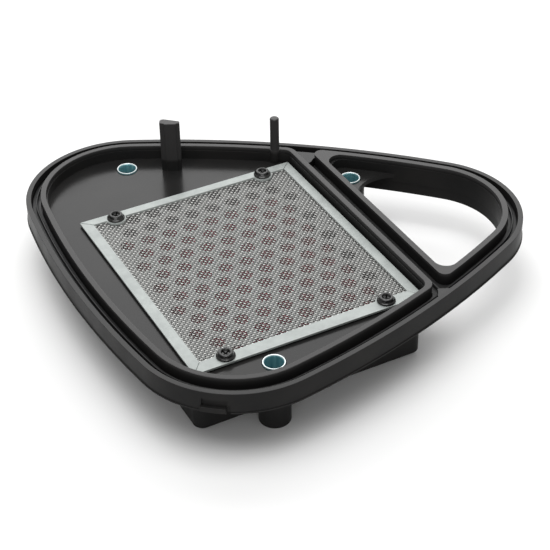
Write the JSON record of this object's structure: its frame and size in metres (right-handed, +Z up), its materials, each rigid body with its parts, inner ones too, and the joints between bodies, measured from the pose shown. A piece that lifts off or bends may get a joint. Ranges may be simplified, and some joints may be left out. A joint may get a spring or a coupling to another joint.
{
  "type": "air filter housing",
  "caption": "Rounded triangular tray with a sealed double rim, an open window beside a divider, and a box under it whose pleated paper is covered by a screwed-down wire mesh screen.",
  "frame": {"origin": "under the middle of the tray's outline, at the height of the three mounting bosses' feet", "axes": "+Z up out of the tray; +X towards the open window, along the screen's short side; +Y towards the tall post, along the screen's long side"},
  "size_m": [0.2401, 0.2381, 0.064],
  "materials": {
    "black_plastic": "moulded black plastic, satin with a soft shine",
    "zinc": "zinc plated",
    "seal_rubber": "black rubber",
    "filter_paper": "red pleated filter paper, matt",
    "edge_moulding": "grey moulded edge, matt",
    "bright_steel": "bright sheet",
    "wire_steel": "galvanised woven wire",
    "frame_steel": "galvanised strip, satin",
    "screw_black": "glossy black",
    "brass": "turned"
  },
  "bodies": {
    "housing": {"housing_tray": "black_plastic", "collar_rear": "zinc", "collar_window": "zinc", "collar_front": "zinc", "lid_seal": "seal_rubber", "threaded_insert_1": "brass", "threaded_insert_2": "brass", "threaded_insert_3": "brass", "threaded_insert_4": "brass", "pleated_filter_element": "filter_paper", "element_edge_frame": "edge_moulding", "element_support_grid": "black_plastic"},
    "screen": {"perforated_plate": "bright_steel", "wire_mesh_screen": "wire_steel", "frame_rail_left": "frame_steel", "frame_rail_right": "frame_steel", "frame_rail_front": "frame_steel", "frame_rail_rear": "frame_steel"},
    "screw_1": {"screen_screw_1": "screw_black"},
    "screw_2": {"screen_screw_2": "screw_black"},
    "screw_3": {"screen_screw_3": "screw_black"},
    "screw_4": {"screen_screw_4": "screw_black"}
  },
  "joints": [
    {"name": "screen_lift", "type": "slide", "parent": "housing", "child": "screen", "axis": [0, 0, 1], "range_m": [0, 0.04]},
    {"name": "screw_1_out", "type": "slide", "parent": "screen", "child": "screw_1", "axis": [0, 0, 1], "range_m": [0, 0.014]},
    {"name": "screw_2_out", "type": "slide", "parent": "screen", "child": "screw_2", "axis": [0, 0, 1], "range_m": [0, 0.014]},
    {"name": "screw_3_out", "type": "slide", "parent": "screen", "child": "screw_3", "axis": [0, 0, 1], "range_m": [0, 0.014]},
    {"name": "screw_4_out", "type": "slide", "parent": "screen", "child": "screw_4", "axis": [0, 0, 1], "range_m": [0, 0.014]}
  ]
}
